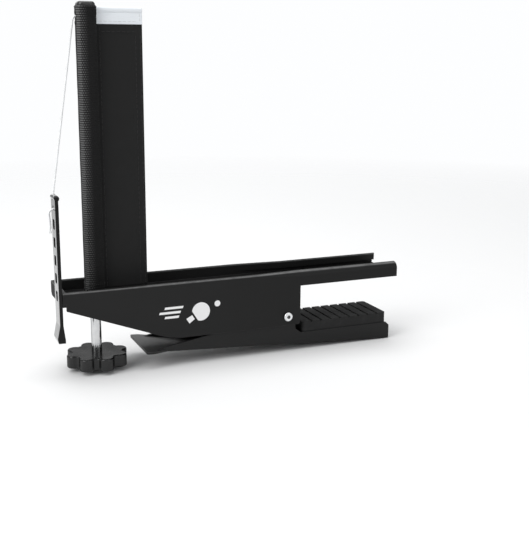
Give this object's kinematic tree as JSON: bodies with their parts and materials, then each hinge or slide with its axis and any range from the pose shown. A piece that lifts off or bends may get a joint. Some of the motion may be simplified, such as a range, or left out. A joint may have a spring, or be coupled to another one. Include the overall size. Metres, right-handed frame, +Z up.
{
  "type": "table tennis net clamp",
  "caption": "Spring clip clamp with a height-adjusted net post, net end sleeve and slotted cord strap, for a table's edge.",
  "frame": {"origin": "where the table's side edge, the table's top surface and the net's plane meet, on the upper jaw's seat", "axes": "+Z up off the table top, +X over the table, +Y along the table's side edge"},
  "size_m": [0.204, 0.0386, 0.1933],
  "materials": {
    "black_coat": "fine powder coat, low sheen",
    "rubber": "matt",
    "chrome": "polished",
    "steel": "zinc plated",
    "black_plastic": "moulded",
    "cap_plastic": "moulded, glossy",
    "black_fabric": "ribbed woven tape",
    "white_fabric": "woven tape",
    "white_cord": "braided cord",
    "strap_plastic": "moulded, glossy"
  },
  "bodies": {
    "bracket_body": {"bracket": "black_coat", "upper_jaw_pad": "rubber", "pivot_pin": "chrome", "pivot_washer": "steel", "pivot_nut": "steel", "pivot_bush": "steel", "clamp_spring": "steel", "post_guide": "black_plastic", "thread_nut": "steel", "strap_peg": "black_coat", "tension_cord": "white_cord"},
    "lever": {"clamp_lever": "black_coat", "lower_jaw_pad": "rubber"},
    "post": {"post_tube": "steel", "post_cap": "cap_plastic", "post_foot": "black_plastic", "net_sleeve": "black_fabric", "net_side_band": "black_fabric", "net_tape_end": "white_fabric"},
    "knob": {"height_screw": "chrome", "screw_clip": "steel", "height_knob": "cap_plastic"},
    "strap": {"tension_strap": "strap_plastic", "cord_tail": "white_cord"}
  },
  "joints": [
    {"name": "lever_pivot", "type": "hinge", "parent": "bracket_body", "child": "lever", "pos_m": [-0.0083, 0, -0.0172], "axis": [0, 1, 0], "range_deg": [0, 5.5], "stiffness_Nm_per_rad": 1, "springref_deg": -45.84, "deforming": ["clamp_spring"]},
    {"name": "post_lift", "type": "slide", "parent": "bracket_body", "child": "post", "axis": [0, 0, 1], "range_m": [-0.001, 0.003]},
    {"name": "knob_turn", "type": "hinge", "parent": "post", "child": "knob", "pos_m": [-0.1158, 0, -0.0328], "axis": [0, 0, 1], "range_deg": [-360, 1080]},
    {"name": "strap_swing", "type": "hinge", "parent": "bracket_body", "child": "strap", "pos_m": [-0.1373, -0.0108, 0.0583], "axis": [0, 1, 0], "range_deg": [0, 30]}
  ],
  "couplings": [
    {"joint": "knob_turn", "follows": "post_lift", "rad_per_m": 6283.2}
  ]
}
